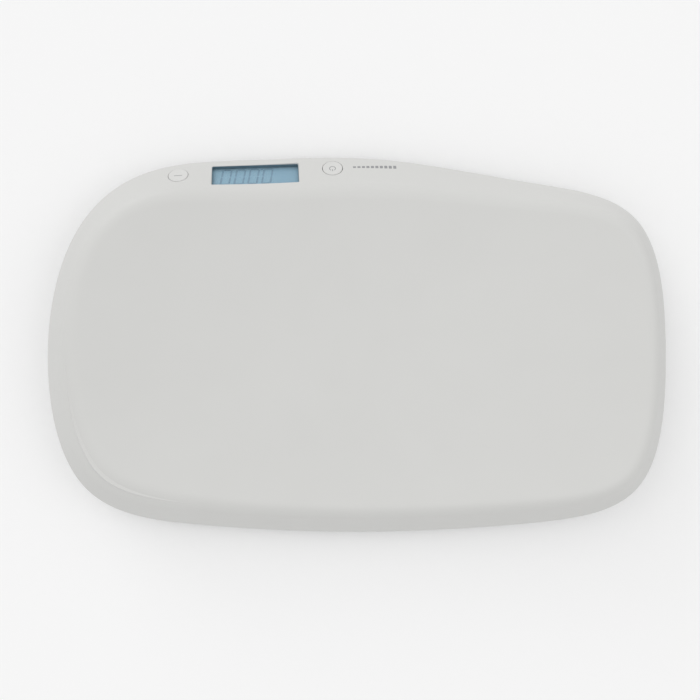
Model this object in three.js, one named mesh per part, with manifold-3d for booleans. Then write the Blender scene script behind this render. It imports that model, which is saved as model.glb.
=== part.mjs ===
import * as THREE from 'three';
import { mergeVertices } from 'three/addons/utils/BufferGeometryUtils.js';
import Module from 'manifold-3d';

// Digital tray scale for small animals and infants: a shallow cradle tray with a sloped
// edge band, a display and two keys in the wide front part of that band, a tucked-under
// base, four load-cell feet and a battery bay with a hinged door.
// Millimetres, +Z up. The origin is on the table, under the middle of the tray.
// -Y is the front, where the display is read, and +X is the reader's right.

const wasm = await Module();
wasm.setup();

// ---- Tray -----------------------------------------------------------------

// The rim in plan is a closed cubic B-spline, going round from the front to the right.
// Each control point has x, y, the plan width of the sloped band there, and how far the
// rounding of the crease reaches to each side.
const RIM = [
  [86, -157, 34, 8],
  [176, -156, 27, 8],
  [241, -109, 20, 8],
  [268, -1, 19, 9],
  [246, 140, 22, 20],
  [134, 155, 19.5, 9],
  [-5, 163, 19, 8],
  [-158, 153, 18.5, 8],
  [-255, 136, 16.5, 8],
  [-263, 5, 12, 7],
  [-253, -123, 14, 7],
  [-150, -136, 20, 8],
  [-18, -164, 31, 8],
];
const STATIONS_PER_POINT = 6;
const FLOOR_RINGS = [0.2, 0.4, 0.6, 0.8, 1];

const FLOOR_MIDDLE_Z = 41;
const FLOOR_END_RISE = 20;
const FLOOR_END_X = 240;
const FLOOR_SIDE_RISE = 5;
const FLOOR_SIDE_Y = 130;
const RIM_MIDDLE_Z = 20;
const RIM_END_RISE = 16;
const RIM_END_X = 260;
const SHELL = 2.5;
const RIM_ROUNDING = 2;
const LIP = 5;

// ---- Base -----------------------------------------------------------------

const BASE_BOTTOM_Z = 8;
const BASE_BOTTOM_SCALE = 0.77;
const BASE_BULGE_SCALE = 0.93;
const BASE_BULGE_RISE = 1;
const BASE_INSET = 0.8;
const SHADOW_GAP = 0.4;
const TONGUE_HEIGHT = 2;
const TONGUE_THICKNESS = 1.5;
const CLEARANCE = 0.3;

// ---- Case screws, feet and battery bay --------------------------------------

const CASE_SCREWS = [
  [188, -6],
  [80, 98],
  [-80, 98],
  [-188, -6],
  [-80, -98],
  [80, -98],
];
const BASE_BOSS = { radius: 5, top: 16, counterbore: 3.4, ledge: 12, hole: 1.8 };
const TRAY_BOSS = { radius: 4, pilot: 1.8, depth: 14 };
const CASE_SCREW = { head: 3, headHeight: 2.2, shank: 1.5, length: 16 };

const FEET = [
  [145, -72],
  [145, 72],
  [-145, 72],
  [-145, -72],
];
const POCKET = { inner: 22, outer: 24, ceiling: 19, top: 21.5, hole: 10 };
const CARRIER = { outer: 21.5, inner: 13, bottom: 16.6, top: 18.7 };
const CELL = { side: 30, bottom: 14.3, top: 16.3, hole: 2.4, slot: 2 };
const CUP = { outer: 20.5, bottom: 2, recess: 18.4, web: 4.3, top: 10, wall: 1.8, floor: 6.3 };
const POST = { radius: 5, top: 14, pin: 2, headBottom: 17.6, headTop: 19, head: 2.9 };
const PAD = { radius: 18, top: 4, edge: 0.8 };

const BAY = { x: 28, y: 17.5, top: 22, wall: 1.6 };
const DOOR = { x: 30, y: 19, thickness: 2, frame: 3.7, gap: 0.3 };
const HOOK = { from: 10, to: 18, ribInner: 15.3, ribOuter: 17.2, reach: 21.5, bottom: 10.6, top: 12 };
const HOOK_SLOT = { margin: 0.5, reach: 22, top: 13.2, frameTop: 14.5, frameY: 24 };
const LATCH = { x: 5, inner: 15.6, outer: 17.2, top: 12.5 };
const GRIP = { x: 9, y: 3, ridges: 3, pitch: 2, height: 0.5 };
const AAA = { radius: 5.25, length: 44.5, pitch: 11.2, z: 16.2, tipRadius: 1.9, tip: 0.8 };
const CONTACT = { plateX: 27.1, thickness: 0.6, height: 8, width: 7, spring: 3, springTip: 2 };
const TAB = { halfWidth: 1.5, top: 26.5, slotX: 0.7, slotY: 1.9 };

// ---- Display and keys, in the panel's own frame -------------------------------
// x runs along the panel to the reader's right, y up its slope and z out of its face.

const DISPLAY_X = 86;
const DISPLAY_INSET = 14.3;
const WINDOW = { width: 73, height: 23.5, corner: 1.2 };
const PANE = { width: 78, height: 28, top: -3, thickness: 1, corner: 1 };
const LCD = { width: 76, height: 26.6, top: -4.3, thickness: 2 };
const LCD_FRAME = { width: 80, height: 30.4, top: -4.3, bottom: -9.9, wall: 1.6 };
const BACKLIGHT = { width: 74, height: 22, top: -6.6, thickness: 3, shift: 2 };
const ZEBRA = { width: 60, height: 2, top: -6.6, thickness: 3.3, shift: -11.6 };
const PCB = { width: 156, height: 24, top: -10.2, thickness: 1.4, hole: 1.3 };
const CHIP = { side: 8, thickness: 1.2, x: -20, y: 3 };
const PCB_POST = { x: 48, radius: 3, pilot: 1.3, depth: 6 };
const PCB_SCREW = { head: 2.2, headHeight: 1.4, shank: 1, length: 6 };

const KEYS = [
  { name: 'tare', x: 152.1 },
  { name: 'unit', x: 20.4 },
];
const KEY_INSET = 10.6;
const KEY = {
  radius: 8.3,
  hole: 8.6,
  proud: 0.3,
  flange: 10,
  flangeTop: -3.9,
  flangeThick: 1,
  stem: 2.5,
  stemEnd: -6,
};
const SWITCH = { side: 6, top: -7.2, well: 1.9, wellBottom: -9.2 };
const PLUNGER = { radius: 1.6, top: -6.3, bottom: -8.2 };

// ---- Wires ------------------------------------------------------------------

// Each wire leaves its start in a straight line, follows `route` and ends on the board's
// back, at the given x along the panel. A battery lead leaves its solder tab along x.
const SENSOR_WIRE = { radius: 1.2, board: 4 };
const SENSOR_ROUTES = [
  { board: 62, route: [[146, -106, 27]] },
  { board: 34, route: [[118, 20, 31], [112, -60, 31], [118, -106, 28]] },
  { board: -34, route: [[-100, 30, 31], [-20, -40, 30], [32, -92, 29]] },
  { board: -62, route: [[-100, -76, 29], [-40, -80, 29], [2, -106, 27]] },
];
const SENSOR_EXIT = { offset: 6, bottom: 16.8, top: 25 };
const BATTERY_WIRE = { radius: 0.9, board: -2 };
const BATTERY_ROUTES = {
  negative: {
    side: -1,
    exit: [-26.7, -20],
    route: [[8, -48, 30], [42, -74, 29], [66, -111, 27]],
    board: 4,
    look: 'insulator',
  },
  positive: {
    side: 1,
    exit: [28.1, 35],
    route: [[74, -30, 30], [98, -90, 29]],
    board: 12,
    look: 'redWire',
  },
};
const BATTERY_EXIT_Z = 25.3;
const WIRE_SIDES = 6;
const WIRE_STEPS = 24;
const WIRE_APPROACH = 8;

// ---- Materials --------------------------------------------------------------

const LOOKS = {
  tray: { color: 0xd6d7d4, roughness: 0.42, metalness: 0 },
  base: { color: 0xcfd0cd, roughness: 0.55, metalness: 0 },
  key: { color: 0xdddedb, roughness: 0.45, metalness: 0 },
  rubber: { color: 0x5a5d5f, roughness: 0.9, metalness: 0 },
  insulator: { color: 0x2b2d2f, roughness: 0.6, metalness: 0 },
  carrier: { color: 0xf0efe8, roughness: 0.6, metalness: 0 },
  glass: { color: 0x9fb6c4, roughness: 0.1, metalness: 0 },
  lcd: { color: 0x86a3b4, roughness: 0.3, metalness: 0 },
  backlight: { color: 0xeef4f7, roughness: 0.5, metalness: 0 },
  pcb: { color: 0x2f6b45, roughness: 0.6, metalness: 0 },
  steel: { color: 0xb9bcbe, roughness: 0.35, metalness: 1 },
  cell: { color: 0x3c6e9c, roughness: 0.4, metalness: 0.2 },
  wire: { color: 0xd8d8d4, roughness: 0.7, metalness: 0 },
  redWire: { color: 0xb03028, roughness: 0.7, metalness: 0 },
};

// ---- Small helpers ------------------------------------------------------------

const scale = new THREE.Group();

function add(name, geometry, look, parent = scale) {
  const mesh = new THREE.Mesh(geometry, new THREE.MeshStandardMaterial(LOOKS[look]));
  mesh.name = name;
  parent.add(mesh);
  return mesh;
}

function solidOf(geometry) {
  const bare = geometry.clone();
  bare.deleteAttribute('normal');
  bare.deleteAttribute('uv');
  const merged = mergeVertices(bare, 1e-4);
  return new wasm.Manifold(new wasm.Mesh({
    numProp: 3,
    vertProperties: new Float32Array(merged.attributes.position.array),
    triVerts: new Uint32Array(merged.index.array),
  }));
}

function geometryOf(solid) {
  const mesh = solid.getMesh();
  const geometry = new THREE.BufferGeometry();
  geometry.setAttribute('position', new THREE.BufferAttribute(mesh.vertProperties, 3));
  geometry.setIndex(new THREE.BufferAttribute(mesh.triVerts, 1));
  geometry.computeVertexNormals();
  return geometry;
}

function joined(geometry, additions) {
  return geometryOf(additions.reduce((solid, item) => solid.add(solidOf(item)), solidOf(geometry)));
}

function cut(geometry, tools) {
  return geometryOf(tools.reduce((solid, tool) => solid.subtract(solidOf(tool)), solidOf(geometry)));
}

// An upright round bar between two heights.
function post(radius, bottom, top, x = 0, y = 0, sides = 20) {
  const geometry = new THREE.CylinderGeometry(radius, radius, top - bottom, sides);
  geometry.rotateX(Math.PI / 2);
  geometry.translate(x, y, (bottom + top) / 2);
  return geometry;
}

// A box between two corners.
function block(x0, x1, y0, y1, z0, z1) {
  const geometry = new THREE.BoxGeometry(x1 - x0, y1 - y0, z1 - z0);
  geometry.translate((x0 + x1) / 2, (y0 + y1) / 2, (z0 + z1) / 2);
  return geometry;
}

// A flat rectangular plate with rounded corners, its top face at the given height.
function plate(width, height, corner, top, thickness) {
  const x = width / 2;
  const y = height / 2;
  const shape = new THREE.Shape();
  shape.moveTo(corner - x, -y);
  shape.lineTo(x - corner, -y);
  shape.absarc(x - corner, corner - y, corner, -Math.PI / 2, 0);
  shape.absarc(x - corner, y - corner, corner, 0, Math.PI / 2);
  shape.absarc(corner - x, y - corner, corner, Math.PI / 2, Math.PI);
  shape.absarc(corner - x, corner - y, corner, Math.PI, 1.5 * Math.PI);
  const options = { depth: thickness, bevelEnabled: false, curveSegments: 2 };
  const geometry = new THREE.ExtrudeGeometry(shape, options);
  geometry.translate(0, 0, top - thickness);
  return geometry;
}

// A turned piece from its profile of [radius, height] pairs.
function turned(profile, sides = 20) {
  const points = profile.map(([r, z]) => new THREE.Vector2(r, z));
  const geometry = new THREE.LatheGeometry(points, sides);
  geometry.rotateX(Math.PI / 2);
  return geometry;
}

// A closed skin over rings of equal length, with a single point at each end.
function skin(start, rings, end) {
  const count = rings[0].length;
  const points = [start, ...rings.flat(), end];
  const last = points.length - 1;
  const faces = [];
  for (let i = 0; i < count; i += 1) {
    const next = (i + 1) % count;
    faces.push(0, 1 + i, 1 + next);
    faces.push(last, last - count + next, last - count + i);
    for (let ring = 0; ring < rings.length - 1; ring += 1) {
      const low = 1 + ring * count;
      const high = low + count;
      faces.push(low + i, high + i, high + next);
      faces.push(low + i, high + next, low + next);
    }
  }
  const geometry = new THREE.BufferGeometry();
  geometry.setFromPoints(points);
  geometry.setIndex(faces);
  return geometry;
}

// ---- The tray's surface ---------------------------------------------------------

function floorHeight(x, y) {
  const endRise = FLOOR_END_RISE * Math.abs(x / FLOOR_END_X) ** 2.2;
  const sideRise = FLOOR_SIDE_RISE * Math.abs(y / FLOOR_SIDE_Y) ** 3;
  return FLOOR_MIDDLE_Z + endRise + sideRise;
}

function rimHeight(x) {
  return RIM_MIDDLE_Z + RIM_END_RISE * Math.abs(x / RIM_END_X) ** 2.4;
}

// The rim at parameter u, with the band's width and the crease's rounding there.
// at(inset, z) is the point that lies that far inside the rim, at height z.
function station(u) {
  const first = Math.floor(u);
  const t = u - first;
  const s = 1 - t;
  const weights = [s ** 3, 3 * t ** 3 - 6 * t ** 2 + 4, 3 * s ** 3 - 6 * s ** 2 + 4, t ** 3];
  const slopes = [-3 * s ** 2, 9 * t ** 2 - 12 * t, 12 * s - 9 * s ** 2, 3 * t ** 2];
  const value = [0, 0, 0, 0];
  const rate = [0, 0];
  for (let k = 0; k < 4; k += 1) {
    const control = RIM[(first + k - 1 + RIM.length) % RIM.length];
    control.forEach((number, i) => { value[i] += (number * weights[k]) / 6; });
    rate.forEach((_, i) => { rate[i] += control[i] * slopes[k]; });
  }
  const speed = Math.hypot(...rate);
  const [x, y, width, rounding] = value;
  const inward = [-rate[1] / speed, rate[0] / speed];
  const at = (inset, z) => new THREE.Vector3(x + inward[0] * inset, y + inward[1] * inset, z);
  return { x, y, width, rounding, at };
}

function stations() {
  const count = RIM.length * STATIONS_PER_POINT;
  return Array.from({ length: count }, (_, i) => station((i + 0.5) / STATIONS_PER_POINT));
}

// Rim height, crease height and slope of the band at one station.
function band(st) {
  const rimZ = rimHeight(st.x);
  const crease = st.at(st.width, 0);
  const creaseZ = floorHeight(crease.x, crease.y);
  const angle = Math.atan2(creaseZ - rimZ, st.width);
  return { rimZ, creaseZ, angle };
}

function bezier(a, control, b, t) {
  const start = a.clone().lerp(control, t);
  return start.lerp(control.clone().lerp(b, t), t);
}

// One cut through the tray, from the edge of its floor over the band to the lip.
function outerSection(st) {
  const { rimZ, creaseZ, angle } = band(st);
  const along = (distance) => st.at(distance * Math.cos(angle), rimZ + distance * Math.sin(angle));
  const edge = st.at(st.width + st.rounding, 0);
  edge.z = floorHeight(edge.x, edge.y);
  const crease = st.at(st.width, creaseZ);
  const bandTop = along(Math.hypot(st.width, creaseZ - rimZ) - st.rounding);
  const corner = st.at(0, rimZ);
  const bandFoot = along(RIM_ROUNDING);
  const lipTop = st.at(0, rimZ - RIM_ROUNDING);
  return [
    edge,
    bezier(edge, crease, bandTop, 0.33),
    bezier(edge, crease, bandTop, 0.67),
    bandTop,
    bandFoot,
    bezier(bandFoot, corner, lipTop, 0.5),
    lipTop,
    st.at(0, rimZ - LIP),
  ];
}

function innerSection(st) {
  const { rimZ, creaseZ, angle } = band(st);
  const underBand = rimZ + SHELL * Math.tan(angle) - SHELL / Math.cos(angle);
  return [
    st.at(SHELL, rimZ - LIP),
    st.at(SHELL, underBand),
    st.at(st.width + SHELL * Math.tan(angle / 2), creaseZ - SHELL),
  ];
}

// Rings of the floor, each a smaller copy of its edge, dropped by the given depth.
function floorRings(edge, scales, drop) {
  return scales.map((factor) => edge.map((point) => {
    const x = point.x * factor;
    const y = point.y * factor;
    return new THREE.Vector3(x, y, floorHeight(x, y) - drop);
  }));
}

function ringsOf(sections) {
  return sections[0].map((_, i) => sections.map((section) => section[i]));
}

function traySkin() {
  const all = stations();
  const outer = ringsOf(all.map(outerSection));
  const inner = ringsOf(all.map(innerSection));
  const edge = outer[0];
  const rings = [
    ...floorRings(edge, FLOOR_RINGS.slice(0, -1), 0),
    ...outer,
    ...inner,
    ...floorRings(edge, [...FLOOR_RINGS].reverse(), SHELL),
  ];
  const top = new THREE.Vector3(0, 0, FLOOR_MIDDLE_Z);
  const bottom = new THREE.Vector3(0, 0, FLOOR_MIDDLE_Z - SHELL);
  return skin(top, rings, bottom);
}

// ---- The panel's frame ------------------------------------------------------------

// The front station whose rim point has the given x.
function frontStation(x) {
  let low = -1;
  let high = 1.5;
  for (let i = 0; i < 40; i += 1) {
    const middle = (low + high) / 2;
    if (station(middle + RIM.length).x < x) low = middle;
    else high = middle;
  }
  return low + RIM.length;
}

function onBand(u, inset) {
  const st = station(u);
  const { rimZ, angle } = band(st);
  return st.at(inset, rimZ + inset * Math.tan(angle));
}

// A matrix whose origin is on the band and whose axes are the panel's right, up and out.
function panelMatrix() {
  const u = frontStation(DISPLAY_X);
  const origin = onBand(u, DISPLAY_INSET);
  const step = 0.1;
  const right = onBand(u + step, DISPLAY_INSET).sub(onBand(u - step, DISPLAY_INSET)).normalize();
  const up = onBand(u, DISPLAY_INSET + 1).sub(origin);
  up.addScaledVector(right, -up.dot(right)).normalize();
  const out = new THREE.Vector3().crossVectors(right, up);
  return new THREE.Matrix4().makeBasis(right, up, out).setPosition(origin);
}

const PANEL = panelMatrix();

function onPanel(geometry) {
  return geometry.applyMatrix4(PANEL);
}

// Where a key's axis crosses the panel, in the panel's frame.
function keyPlace(key) {
  return onBand(frontStation(key.x), KEY_INSET).applyMatrix4(PANEL.clone().invert());
}

// ---- Tray shell ------------------------------------------------------------------

function trayShell() {
  const bosses = CASE_SCREWS.map(([x, y]) => (
    post(TRAY_BOSS.radius, BASE_BOSS.top + CLEARANCE, floorHeight(x, y) - SHELL / 2, x, y, 12)
  ));
  const pilots = CASE_SCREWS.map(([x, y]) => (
    post(TRAY_BOSS.pilot, BASE_BOSS.top, BASE_BOSS.top + TRAY_BOSS.depth, x, y, 12)
  ));
  const pcbPosts = [-1, 1].map((side) => (
    onPanel(post(PCB_POST.radius, PCB.top + CLEARANCE, -SHELL / 2, side * PCB_POST.x, 0, 12))
  ));
  const pcbPilots = [-1, 1].map((side) => (
    onPanel(post(PCB_POST.pilot, PCB.top, PCB.top + PCB_POST.depth, side * PCB_POST.x, 0, 12))
  ));
  const window = onPanel(plate(WINDOW.width, WINDOW.height, WINDOW.corner, SHELL, 3 * SHELL));
  const keyHoles = KEYS.map((key) => {
    const { x, y } = keyPlace(key);
    return onPanel(post(KEY.hole, -2 * SHELL, 2 * SHELL, x, y, 24));
  });
  const whole = joined(traySkin(), [...bosses, ...pcbPosts]);
  add('tray_shell', cut(whole, [...pilots, ...pcbPilots, window, ...keyHoles]), 'tray');
}

// ---- Base shell ------------------------------------------------------------------

function scaled(st, factor, z) {
  return new THREE.Vector3(st.x * factor, st.y * factor, z);
}

// One cut through the base, from the edge of its flat bottom out to the tongue that
// stands inside the tray's lip, and back along the inner face.
function baseSection(st) {
  const top = rimHeight(st.x) - LIP - SHADOW_GAP;
  const tongue = SHELL + CLEARANCE;
  const wall = (grow) => [
    scaled(st, BASE_BOTTOM_SCALE - grow * 0.006, BASE_BOTTOM_Z + grow),
    scaled(st, BASE_BULGE_SCALE - grow * 0.006, BASE_BOTTOM_Z + BASE_BULGE_RISE + grow),
  ];
  const [bottom, bulge] = wall(0);
  const [innerBottom, innerBulge] = wall(SHELL);
  const edge = st.at(BASE_INSET, top);
  const innerEdge = st.at(tongue + TONGUE_THICKNESS, top - 1);
  const steps = [0, 0.25, 0.5, 0.75, 1];
  return [
    ...steps.map((t) => bezier(bottom, bulge, edge, t)),
    st.at(tongue, top),
    st.at(tongue, top + TONGUE_HEIGHT),
    st.at(tongue + TONGUE_THICKNESS, top + TONGUE_HEIGHT),
    ...steps.reverse().map((t) => bezier(innerBottom, innerBulge, innerEdge, t)),
  ];
}

function baseSkin() {
  const rings = ringsOf(stations().map(baseSection)).reverse();
  const bottom = new THREE.Vector3(0, 0, BASE_BOTTOM_Z);
  const top = new THREE.Vector3(0, 0, BASE_BOTTOM_Z + SHELL);
  return skin(top, rings, bottom);
}

function batteryFrame() {
  const outerX = DOOR.x + DOOR.frame;
  const outerY = DOOR.y + DOOR.frame;
  const bayX = BAY.x + BAY.wall;
  const bayY = BAY.y + BAY.wall;
  const hookX = HOOK.to + 3;
  return [
    block(-outerX, outerX, -outerY, outerY, BASE_BOTTOM_Z, BASE_BOTTOM_Z + DOOR.thickness + 2.5),
    block(-bayX, bayX, -bayY, bayY, BASE_BOTTOM_Z, BAY.top + BAY.wall),
    block(-hookX, hookX, BAY.y, HOOK_SLOT.frameY, BASE_BOTTOM_Z, HOOK_SLOT.frameTop),
  ];
}

function batteryHollows() {
  const recessTop = BASE_BOTTOM_Z + DOOR.thickness + DOOR.gap;
  const x = DOOR.x + DOOR.gap;
  const y = DOOR.y + DOOR.gap;
  const { margin } = HOOK_SLOT;
  const slots = [[HOOK.from, HOOK.to], [-HOOK.to, -HOOK.from]].map(([from, to]) => (
    block(from - margin, to + margin, BAY.y - 1, HOOK_SLOT.reach, recessTop - 1, HOOK_SLOT.top)
  ));
  const tabSlots = [-1, 1].map((side) => {
    const slot = block(-TAB.slotX, TAB.slotX, -TAB.slotY, TAB.slotY, BAY.top - 1, BAY.top + 3);
    slot.translate(side * (CONTACT.plateX + CONTACT.thickness / 2), side * AAA.pitch, 0);
    return slot;
  });
  return [
    block(-x, x, -y, y, BASE_BOTTOM_Z - 1, recessTop),
    block(-BAY.x, BAY.x, -BAY.y, BAY.y, BASE_BOTTOM_Z, BAY.top),
    ...slots,
    ...tabSlots,
  ];
}

function baseShell() {
  const pockets = FEET.map(([x, y]) => post(POCKET.outer, BASE_BOTTOM_Z, POCKET.top, x, y, 24));
  const pocketHollows = FEET.flatMap(([x, y]) => [
    post(POCKET.inner, BASE_BOTTOM_Z - 1, POCKET.ceiling, x, y, 24),
    post(POCKET.hole, POCKET.ceiling - 1, POCKET.top + 1, x, y, 16),
  ]);
  const bosses = CASE_SCREWS.map(([x, y]) => (
    post(BASE_BOSS.radius, BASE_BOTTOM_Z, BASE_BOSS.top, x, y, 12)
  ));
  const bores = CASE_SCREWS.flatMap(([x, y]) => [
    post(BASE_BOSS.counterbore, BASE_BOTTOM_Z - 1, BASE_BOSS.ledge, x, y, 12),
    post(BASE_BOSS.hole, BASE_BOSS.ledge - 1, BASE_BOSS.top + 1, x, y, 12),
  ]);
  const whole = joined(baseSkin(), [...pockets, ...bosses, ...batteryFrame()]);
  add('base_shell', cut(whole, [...pocketHollows, ...bores, ...batteryHollows()]), 'base');
}

function caseScrews() {
  const seat = BASE_BOSS.ledge - CLEARANCE;
  CASE_SCREWS.forEach(([x, y], i) => {
    const screw = turned([
      [0, seat - CASE_SCREW.headHeight],
      [CASE_SCREW.head * 0.8, seat - CASE_SCREW.headHeight],
      [CASE_SCREW.head, seat - CASE_SCREW.headHeight * 0.5],
      [CASE_SCREW.head, seat],
      [CASE_SCREW.shank, seat],
      [CASE_SCREW.shank, seat + CASE_SCREW.length - 2],
      [0, seat + CASE_SCREW.length],
    ], 10);
    add(`case_screw_${i + 1}`, screw, 'steel').position.set(x, y, 0);
  });
}

// ---- Feet ------------------------------------------------------------------------

// A stamped square load cell: an outer frame and a centre tongue, cut free on three sides.
function loadCell() {
  const half = CELL.side / 2;
  const slot = half - 6;
  const plateBlock = block(-half, half, -half, half, CELL.bottom, CELL.top);
  const cuts = [-1, 1].map((side) => {
    const inner = side * (slot - CELL.slot);
    const outer = side * slot;
    return block(Math.min(inner, outer), Math.max(inner, outer), -slot, slot, 0, POCKET.top);
  });
  cuts.push(block(-slot, slot, slot - CELL.slot, slot, 0, POCKET.top));
  cuts.push(post(CELL.hole, 0, POCKET.top, 0, 0, 12));
  return cut(plateBlock, cuts);
}

function footCup() {
  const lip = CUP.outer - CUP.wall;
  return turned([
    [0, CUP.web],
    [CUP.recess, CUP.web],
    [CUP.recess, CUP.bottom],
    [CUP.outer, CUP.bottom],
    [CUP.outer, CUP.top],
    [lip, CUP.top],
    [lip, CUP.floor],
    [POST.radius, CUP.floor],
    [POST.radius, POST.top],
    [POST.pin, POST.top],
    [POST.pin, POST.headBottom],
    [POST.head, POST.headBottom],
    [POST.pin, POST.headTop],
    [0, POST.headTop],
  ], 16);
}

function footPad() {
  return turned([
    [0, 0],
    [PAD.radius - PAD.edge, 0],
    [PAD.radius, PAD.edge],
    [PAD.radius, PAD.top],
    [0, PAD.top],
  ], 16);
}

function carrier() {
  return turned([
    [CARRIER.inner, CARRIER.bottom],
    [CARRIER.outer, CARRIER.bottom],
    [CARRIER.outer, CARRIER.top],
    [CARRIER.inner, CARRIER.top],
    [CARRIER.inner, CARRIER.bottom],
  ], 18);
}

function feet() {
  FEET.forEach(([x, y], i) => {
    const number = i + 1;
    add(`sensor_carrier_${number}`, carrier(), 'carrier').position.set(x, y, 0);
    add(`load_cell_${number}`, loadCell(), 'steel').position.set(x, y, 0);
    add(`foot_cup_${number}`, footCup(), 'base').position.set(x, y, 0);
    add(`foot_pad_${number}`, footPad(), 'rubber').position.set(x, y, 0);
  });
}

// ---- Battery door, cells and contacts --------------------------------------------------

function batteryDoor() {
  const top = BASE_BOTTOM_Z + DOOR.thickness;
  const panel = block(-DOOR.x, DOOR.x, -DOOR.y, DOOR.y, BASE_BOTTOM_Z, top);
  const hooks = [[HOOK.from, HOOK.to], [-HOOK.to, -HOOK.from]].flatMap(([from, to]) => [
    block(from, to, HOOK.ribInner, HOOK.ribOuter, BASE_BOTTOM_Z + 1, HOOK.top),
    block(from, to, HOOK.ribInner, HOOK.reach, HOOK.bottom, HOOK.top),
  ]);
  const latch = block(-LATCH.x, LATCH.x, -LATCH.outer, -LATCH.inner, BASE_BOTTOM_Z + 1, LATCH.top);
  const grooves = Array.from({ length: GRIP.ridges }, (_, i) => {
    const y = GRIP.y - DOOR.y + i * GRIP.pitch;
    return block(-GRIP.x, GRIP.x, y, y + 1, BASE_BOTTOM_Z - 1, BASE_BOTTOM_Z + GRIP.height);
  });
  add('battery_door', cut(joined(panel, [...hooks, latch]), grooves), 'base');
}

// Three AAA cells side by side, in series: a button end and a flat end at each side.
function batteries() {
  [-1, 0, 1].forEach((row, i) => {
    const turn = row === 0 ? -1 : 1;
    const half = AAA.length / 2;
    const cell = turned([
      [0, -half],
      [AAA.radius, -half],
      [AAA.radius, half - AAA.tip],
      [AAA.tipRadius, half - AAA.tip],
      [AAA.tipRadius, half],
      [0, half],
    ], 14);
    cell.rotateY((turn * Math.PI) / 2);
    add(`battery_cell_${i + 1}`, cell, 'cell').position.set(0, row * AAA.pitch, AAA.z);
  });
}

// A spring or stud that reaches from a contact plate to a cell's end.
function contactStud(side, y, radius) {
  const reach = CONTACT.plateX - AAA.length / 2 - CLEARANCE;
  const stud = new THREE.CylinderGeometry(CONTACT.springTip, radius, reach + 0.2, 10);
  stud.rotateZ((side * Math.PI) / 2);
  stud.translate(side * (CONTACT.plateX + 0.2 - (reach + 0.2) / 2), y, AAA.z);
  return stud;
}

// A sheet contact on the bay's end wall. One that serves a single cell ends the chain,
// and has a solder tab that stands up through the bay's roof.
function contact(name, side, rows) {
  const ends = [side * CONTACT.plateX, side * (CONTACT.plateX + CONTACT.thickness)];
  const [x0, x1] = side < 0 ? ends.reverse() : ends;
  const y0 = Math.min(...rows) * AAA.pitch - CONTACT.width / 2;
  const y1 = Math.max(...rows) * AAA.pitch + CONTACT.width / 2;
  const z = CONTACT.height / 2;
  const sheet = block(x0, x1, y0, y1, AAA.z - z, AAA.z + z);
  const extras = rows.map((row) => contactStud(side, row * AAA.pitch, CONTACT.spring));
  if (rows.length === 1) {
    const y = rows[0] * AAA.pitch;
    extras.push(block(x0, x1, y - TAB.halfWidth, y + TAB.halfWidth, AAA.z, TAB.top));
  }
  add(name, joined(sheet, extras), 'steel');
}

function contacts() {
  contact('contact_negative', -1, [-1]);
  contact('contact_bridge_left', -1, [0, 1]);
  contact('contact_bridge_right', 1, [-1, 0]);
  contact('contact_positive', 1, [1]);
}

// ---- Display, circuit board and keys -----------------------------------------------------

const panel = new THREE.Group();
panel.applyMatrix4(PANEL);
scale.add(panel);

function display() {
  const pane = plate(PANE.width, PANE.height, PANE.corner, PANE.top, PANE.thickness);
  add('display_window', pane, 'glass', panel);
  add('lcd_panel', plate(LCD.width, LCD.height, 0.5, LCD.top, LCD.thickness), 'lcd', panel);
  const inner = [LCD_FRAME.width - 2 * LCD_FRAME.wall, LCD_FRAME.height - 2 * LCD_FRAME.wall];
  const depth = LCD_FRAME.top - LCD_FRAME.bottom;
  const ring = cut(
    plate(LCD_FRAME.width, LCD_FRAME.height, 1.5, LCD_FRAME.top, depth),
    [plate(inner[0], inner[1], 0.5, LCD_FRAME.top + 1, depth + 2)],
  );
  add('lcd_frame', ring, 'carrier', panel);
  const lamp = plate(BACKLIGHT.width, BACKLIGHT.height, 0.5, BACKLIGHT.top, BACKLIGHT.thickness);
  add('backlight_panel', lamp, 'backlight', panel).position.y = BACKLIGHT.shift;
  const zebra = plate(ZEBRA.width, ZEBRA.height, 0.4, ZEBRA.top, ZEBRA.thickness);
  add('zebra_strip', zebra, 'insulator', panel).position.y = ZEBRA.shift;
}

function circuitBoard() {
  const bottom = PCB.top - PCB.thickness;
  const holes = [-1, 1].map((side) => post(PCB.hole, bottom - 1, PCB.top + 1, side * PCB_POST.x, 0, 12));
  add('main_pcb', cut(plate(PCB.width, PCB.height, 2, PCB.top, PCB.thickness), holes), 'pcb', panel);
  const chip = plate(CHIP.side, CHIP.side, 0.4, bottom - CLEARANCE, CHIP.thickness);
  add('controller_chip', chip, 'insulator', panel).position.set(CHIP.x, CHIP.y, 0);
  [-1, 1].forEach((side, i) => {
    const seat = bottom - CLEARANCE;
    const screw = turned([
      [0, seat - PCB_SCREW.headHeight],
      [PCB_SCREW.head * 0.7, seat - PCB_SCREW.headHeight],
      [PCB_SCREW.head, seat],
      [PCB_SCREW.shank, seat],
      [PCB_SCREW.shank, seat + PCB_SCREW.length - 1],
      [0, seat + PCB_SCREW.length],
    ], 10);
    add(`pcb_screw_${i + 1}`, screw, 'steel', panel).position.x = side * PCB_POST.x;
  });
}

function keyCap(surface) {
  const flangeTop = surface + KEY.flangeTop;
  return turned([
    [0, KEY.stemEnd],
    [KEY.stem, KEY.stemEnd],
    [KEY.stem, flangeTop - KEY.flangeThick],
    [KEY.flange, flangeTop - KEY.flangeThick],
    [KEY.flange, flangeTop],
    [KEY.radius, flangeTop],
    [KEY.radius, surface + KEY.proud - 0.4],
    [KEY.radius - 0.4, surface + KEY.proud],
    [0, surface + KEY.proud],
  ], 24);
}

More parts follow.
